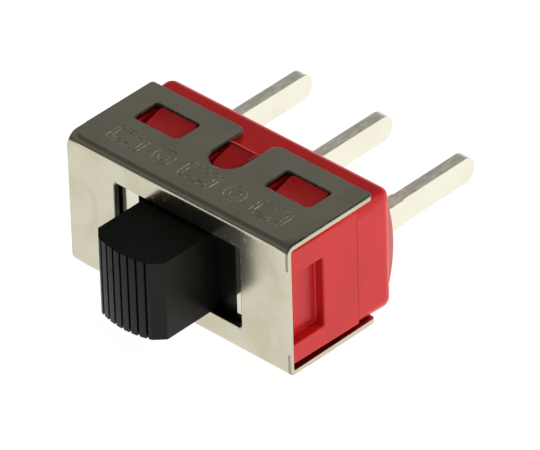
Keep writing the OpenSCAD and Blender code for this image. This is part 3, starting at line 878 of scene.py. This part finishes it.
def math_node(tree, operation, a, b):
    node = tree.nodes.new("ShaderNodeMath")
    node.operation = operation
    for socket, value in zip(node.inputs, (a, b)):
        if hasattr(value, "is_output"):
            tree.links.new(value, socket)
        else:
            socket.default_value = value
    return node.outputs["Value"]


def stretched(tree, vector, scale):
    node = tree.nodes.new("ShaderNodeMapping")
    node.inputs["Scale"].default_value = scale
    tree.links.new(vector, node.inputs["Vector"])
    return node.outputs["Vector"]


PLACE = ("Position", "NodeSocketVector", None)
marks, marks_in, marks_out = new_group("handling_marks", [PLACE, ("Amount", "NodeSocketFloat", 1.0)],
                                       ("Smudge", "Scuff"))
at, amount = marks_in.outputs["Position"], marks_in.outputs["Amount"]
broad = remap(marks, noise(marks, at, 330, 3, 0.6, 0.6), 0.42, 0.68)
fine = remap(marks, noise(marks, at, 2100, 4, 0.7), 0.55, 0.75)
marks.links.new(math_node(marks, "MULTIPLY", broad, amount), marks_out.inputs["Smudge"])
marks.links.new(math_node(marks, "MULTIPLY", fine, amount), marks_out.inputs["Scuff"])

grain, grain_in, grain_out = new_group("rolled_grain", [PLACE], ("Lines", "Waviness"))
at = grain_in.outputs["Position"]
grain.links.new(noise(grain, stretched(grain, at, (0.06, 1, 1)), 14000, 2), grain_out.inputs["Lines"])
grain.links.new(noise(grain, at, 210, 1.5), grain_out.inputs["Waviness"])

sheared, sheared_in, sheared_out = new_group("sheared_edge", [PLACE], ("Streaks", "Dents"))
at = sheared_in.outputs["Position"]
torn = remap(sheared, noise(sheared, at, 5200, 3, 0.65), 0.38, 0.62)
sheared.links.new(torn, sheared_out.inputs["Streaks"])
sheared.links.new(noise(sheared, at, 2300, 3, 0.6), sheared_out.inputs["Dents"])

skin, skin_in, skin_out = new_group("moulded_skin", [PLACE], ("Grain", "Flow"))
at = skin_in.outputs["Position"]
skin.links.new(noise(skin, at, 9000, 3, 0.6), skin_out.inputs["Grain"])
skin.links.new(noise(skin, stretched(skin, at, (1, 0.5, 1)), 420, 2.5), skin_out.inputs["Flow"])
print("shared effects:", marks.name, grain.name, sheared.name, skin.name)

# %% [markdown]
# ## Finishes
#
# Every finish keeps its Principled shader in the material and sets its constants there.
# The groups only feed what changes over the surface: a mix of two near colours, the roughness, and a very low
# bump. Where a press has cut the steel or the pins, the wall is torn and dull, so those faces are picked and
# get a second finish on the same piece. The key's flash gets a lighter, pinker red as a painted highlight, and
# the cut walls of the flanges that face up and to the left keep the bright steel as a painted highlight.

# %% A finish maker
WAVE, WAVE_DEPTH = 0.6, 0.01 * MM


def finish(name, clean, marked, roughness, bump, bump_size=0.002, metallic=0.0, marks_amount=1.0,
           effect="moulded_skin", grain_along=None, **constants):
    """clean and marked are colours, and roughness is (clean, scuffed). bump is a strength and
    bump_size a depth in millimetres. grain_along stretches the effect, one number an axis."""
    made = bpy.data.materials.new(name)
    made.use_nodes = True
    tree = made.node_tree
    shader = tree.nodes["Principled BSDF"]
    shader.inputs["Metallic"].default_value = metallic
    for label, value in constants.items():
        shader.inputs[label.replace("_", " ")].default_value = value
    place = tree.nodes.new("ShaderNodeTexCoord").outputs["Object"]
    used = tree.nodes.new("ShaderNodeGroup")
    used.node_tree = marks
    used.inputs["Amount"].default_value = marks_amount
    tree.links.new(place, used.inputs["Position"])
    texture = tree.nodes.new("ShaderNodeGroup")
    texture.node_tree = bpy.data.node_groups[effect]
    tree.links.new(stretched(tree, place, grain_along) if grain_along else place, texture.inputs["Position"])
    mix = tree.nodes.new("ShaderNodeMix")
    mix.data_type = "RGBA"
    mix.inputs["A"].default_value = (*clean, 1)
    mix.inputs["B"].default_value = (*marked, 1)
    spread_by = texture.outputs["Streaks"] if effect == "sheared_edge" else used.outputs["Smudge"]
    tree.links.new(spread_by, mix.inputs["Factor"])
    tree.links.new(mix.outputs["Result"], shader.inputs["Base Color"])
    rough = remap(tree, used.outputs["Scuff"], 0.0, 1.0, roughness[0], roughness[1])
    tree.links.new(rough, shader.inputs["Roughness"])
    node = tree.nodes.new("ShaderNodeBump")
    node.inputs["Strength"].default_value = bump
    node.inputs["Distance"].default_value = bump_size * MM
    tree.links.new(texture.outputs[0], node.inputs["Height"])
    tree.links.new(node.outputs["Normal"], shader.inputs["Normal"])
    if effect == "rolled_grain":
        wave = tree.nodes.new("ShaderNodeBump")
        wave.inputs["Strength"].default_value = WAVE
        wave.inputs["Distance"].default_value = WAVE_DEPTH
        tree.links.new(texture.outputs["Waviness"], wave.inputs["Height"])
        tree.links.new(wave.outputs["Normal"], node.inputs["Normal"])
    return made


METAL = dict(metallic=1.0, bump_size=0.001, effect="rolled_grain")
steel = finish("bright_rolled_steel", (0.63, 0.60, 0.47), (0.57, 0.53, 0.40), (0.22, 0.32), 0.25, **METAL)
cut_steel = finish("sheared_steel", (0.34, 0.33, 0.28), (0.20, 0.19, 0.16), (0.38, 0.6), 0.4, 0.006,
                   metallic=1.0, effect="sheared_edge", grain_along=(1, 1, 0.2))
coined_steel = finish("coined_steel", (0.90, 0.87, 0.74), (0.45, 0.44, 0.36), (0.45, 0.6), 0.3, 0.004,
                      metallic=0.45, effect="sheared_edge")
thin_steel = finish("shutter_steel", (0.74, 0.71, 0.60), (0.68, 0.64, 0.52), (0.1, 0.2), 0.2,
                    marks_amount=0.7, **METAL)
red = finish("glossy_red_plastic", (0.66, 0.010, 0.012), (0.58, 0.008, 0.010), (0.28, 0.42), 0.12,
             marks_amount=0.8, Specular_IOR_Level=0.4)
# a lighter, pinker red than the case, painted on the key's flash as a highlight along its ridge
flash_painted_highlight = finish("red_flash_painted_highlight", (0.80, 0.12, 0.12), (0.70, 0.06, 0.06), (0.3, 0.45), 0.12,
                   marks_amount=0.8)
resin = finish("poured_resin", (0.60, 0.13, 0.12), (0.52, 0.09, 0.09), (0.12, 0.25), 0.1,
               marks_amount=0.8)
black = finish("black_moulding", (0.005, 0.005, 0.0042), (0.008, 0.008, 0.007), (0.36, 0.52), 0.35, 0.003,
               Specular_IOR_Level=0.2)
tin = finish("bright_tin", (0.89, 0.86, 0.73), (0.85, 0.81, 0.67), (0.2, 0.34), 0.3,
             marks_amount=0.8, **METAL)
cut_tin = finish("sheared_tin", (0.92, 0.92, 0.76), (0.70, 0.70, 0.58), (0.45, 0.65), 0.5, 0.008,
                 metallic=0.3, effect="sheared_edge", grain_along=(1, 0.35, 1))
silver = finish("polished_silver", (0.90, 0.89, 0.85), (0.80, 0.78, 0.72), (0.12, 0.25), 0.2,
                marks_amount=0.8, **METAL)
copper = finish("copper_alloy", (0.80, 0.47, 0.29), (0.66, 0.36, 0.22), (0.2, 0.34), 0.25,
                marks_amount=0.9, **METAL)
brass = finish("turned_brass", (0.80, 0.62, 0.30), (0.70, 0.52, 0.24), (0.16, 0.3), 0.25,
               marks_amount=0.8, **METAL)
wire = finish("drawn_wire", (0.62, 0.62, 0.61), (0.52, 0.52, 0.50), (0.2, 0.34), 0.2,
              marks_amount=0.8, **METAL)


def dress(piece, material):
    piece.data.materials.clear()
    piece.data.materials.append(material)


def second_finish(piece, material, test):
    """Gives the faces that the test picks a finish of their own, and says how many they are."""
    piece.data.materials.append(material)
    edit(piece)
    found = pick("FACE", test)
    piece.active_material_index = len(piece.data.materials) - 1
    bpy.ops.object.material_slot_assign()
    bpy.ops.object.mode_set(mode="OBJECT")
    print(piece.name, "has", found, "faces of", material.name)


END_STRIP = 0.12 * MM
ROLLED, SQUARE_ON, FLAT, BRIGHT = 0.08, 0.97, 0.985, 0.2    # limits for the faces' normals


def was_cut(x, y, z, face):
    """True on the walls that the press has cut and on the rolled edges at the ends, but not on the cut walls
    of the flanges that face up and to the left, which keep the bright steel as a painted highlight.
    """
    n = face.normal
    beside_bend = min(z, HEIGHT - z) < SWOLLEN
    if abs(x) > HALF_L - END_STRIP:
        return ROLLED < abs(n.x) < SQUARE_ON and beside_bend
    if y < END_BENDS[-1][0]:
        in_slot = abs(x) < SLOT_L / 2 + MARGIN and abs(z - MID_Z) < SLOT_H / 2 + MARGIN
        return in_slot and abs(n.y) < SQUARE_ON
    coined = COIN_Y[0] - MARGIN < y < COIN_Y[1] + MARGIN
    # cut walls that face up and to the left keep the bright steel: a painted highlight
    painted_lit_wall = n.x < -BRIGHT and n.z > BRIGHT
    return abs(n.z) < FLAT and not coined and not painted_lit_wall


def in_coin(x, y, z, face):
    """True on the floors and the walls of the coined outlines."""
    deep = HEIGHT - 1.1 * COIN_DEPTH < z < HEIGHT - 0.001 * MM
    return deep and COIN_Y[0] - 0.02 * MM < y < COIN_Y[1] + 0.02 * MM and abs(x) < HALF_L - OVER


def in_flash(x, y, z, face):
    """True on the thin flash of the upper key, which stands a little above the key's ramp. These faces take
    the painted highlight.
    """
    return RAMP_TOP + 0.004 * MM < z < HEIGHT and y < PARTING + 0.01 * MM


def on_narrow_side(x, y, z, face):
    """True on the sides of a pin that the press has cut, which look up and down."""
    return abs(face.normal.z) > 0.5


for piece, material in ((frame_sheet, steel), (moulded_case, red), (knob_slider, black), (resin_seal, resin),
                        (contact_coil, wire), *((p, tin) for p in pins)):
    dress(piece, material)
second_finish(frame_sheet, cut_steel, was_cut)
second_finish(frame_sheet, coined_steel, in_coin)
# painted highlight on the key's flash
second_finish(moulded_case, flash_painted_highlight, in_flash)
for pin in pins:
    second_finish(pin, cut_tin, on_narrow_side)
CAD_FINISH = {"shutter": thin_steel, "rocker": silver, "end_contact_left": silver, "end_contact_right": silver,
              "pivot_saddle": copper, "plunger": brass}
for node, material in CAD_FINISH.items():
    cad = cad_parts[node]
    for index in range(len(cad.material_slots)):
        cad.material_slots[index].material = material
print("finishes:", len(bpy.data.materials))

# %% [markdown]
# ## Floor and light
#
# A small product like this is shot on a bright table. The table throws as much light up at
# the sides as the lamp throws down on the top, which is why the end of the case looks pale
# and its top deep red. Above the table the room is dim, and polished steel shows it.

# %% Light table, lamps and room
let_go()
bpy.ops.mesh.primitive_circle_add(vertices=96, radius=0.45, fill_type="NGON", location=(0, 0, 0))
floor = bpy.context.object
floor.name = "light_table"
table = bpy.data.materials.new("light_table")
table.use_nodes = True
table_shader = table.node_tree.nodes["Principled BSDF"]
table_shader.inputs["Base Color"].default_value = (0.12, 0.12, 0.12, 1)
table_shader.inputs["Roughness"].default_value = 0.9
table_shader.inputs["Emission Color"].default_value = (1.0, 1.0, 0.99, 1)
table_shader.inputs["Emission Strength"].default_value = 0.98
dress(floor, table)


def lamp(name, place, size, watts):
    """A white disk that faces the world's origin."""
    data = bpy.data.lights.new(name, "AREA")
    data.shape = "DISK"
    data.size, data.energy = size, watts
    made = bpy.data.objects.new(name, data)
    bpy.context.scene.collection.objects.link(made)
    made.location = place
    made.rotation_euler = (-Vector(place)).to_track_quat("-Z", "Y").to_euler()
    made.visible_glossy = False


lamp("back_right", (0.16, 0.30, 0.10), 0.14, 0.8)
lamp("left_side", (-0.22, 0.18, 0.26), 0.18, 0.2)
lamp("right_side", (0.30, 0.02, 0.22), 0.18, 0.2)

room = bpy.data.worlds.new("dim_room")
bpy.context.scene.world = room
room.use_nodes = True
tree = room.node_tree
tree.nodes.clear()
ramp = tree.nodes.new("ShaderNodeValToRGB")
split = tree.nodes.new("ShaderNodeSeparateXYZ")
tree.links.new(tree.nodes.new("ShaderNodeTexCoord").outputs["Generated"], split.inputs[0])
tree.links.new(split.outputs["Z"], ramp.inputs["Fac"])
stops = ((0.0, 0.055), (0.14, 0.065), (0.38, 0.14), (0.55, 0.19), (0.6, 0.19), (0.68, 0.1), (0.8, 0.08),
         (1.0, 0.1))
while len(ramp.color_ramp.elements) < len(stops):
    ramp.color_ramp.elements.new(0.5)
for element, (place, level) in zip(ramp.color_ramp.elements, stops):
    element.position = place
    element.color = (level, level, level * 0.98, 1)
low_down = remap(tree, split.outputs["Z"], 0.14, 0.42, 1.0, 0.0)
behind = remap(tree, split.outputs["Y"], 0.55, 0.8)
sweep = math_node(tree, "MULTIPLY", math_node(tree, "MULTIPLY", low_down, behind), 0.75)
lit = tree.nodes.new("ShaderNodeMix")
lit.data_type = "RGBA"
tree.links.new(sweep, lit.inputs["Factor"])
tree.links.new(ramp.outputs["Color"], lit.inputs["A"])
lit.inputs["B"].default_value = (1.0, 1.0, 0.99, 1)
dim = tree.nodes.new("ShaderNodeBackground")
tree.links.new(lit.outputs["Result"], dim.inputs["Color"])
pale = tree.nodes.new("ShaderNodeBackground")
pale.inputs["Color"].default_value = (0.93, 0.93, 0.925, 1)
seen = tree.nodes.new("ShaderNodeMixShader")
tree.links.new(tree.nodes.new("ShaderNodeLightPath").outputs["Is Camera Ray"], seen.inputs["Fac"])
tree.links.new(dim.outputs["Background"], seen.inputs[1])
tree.links.new(pale.outputs["Background"], seen.inputs[2])
tree.links.new(seen.outputs["Shader"], tree.nodes.new("ShaderNodeOutputWorld").inputs["Surface"])
bpy.context.scene.view_settings.view_transform = "Standard"
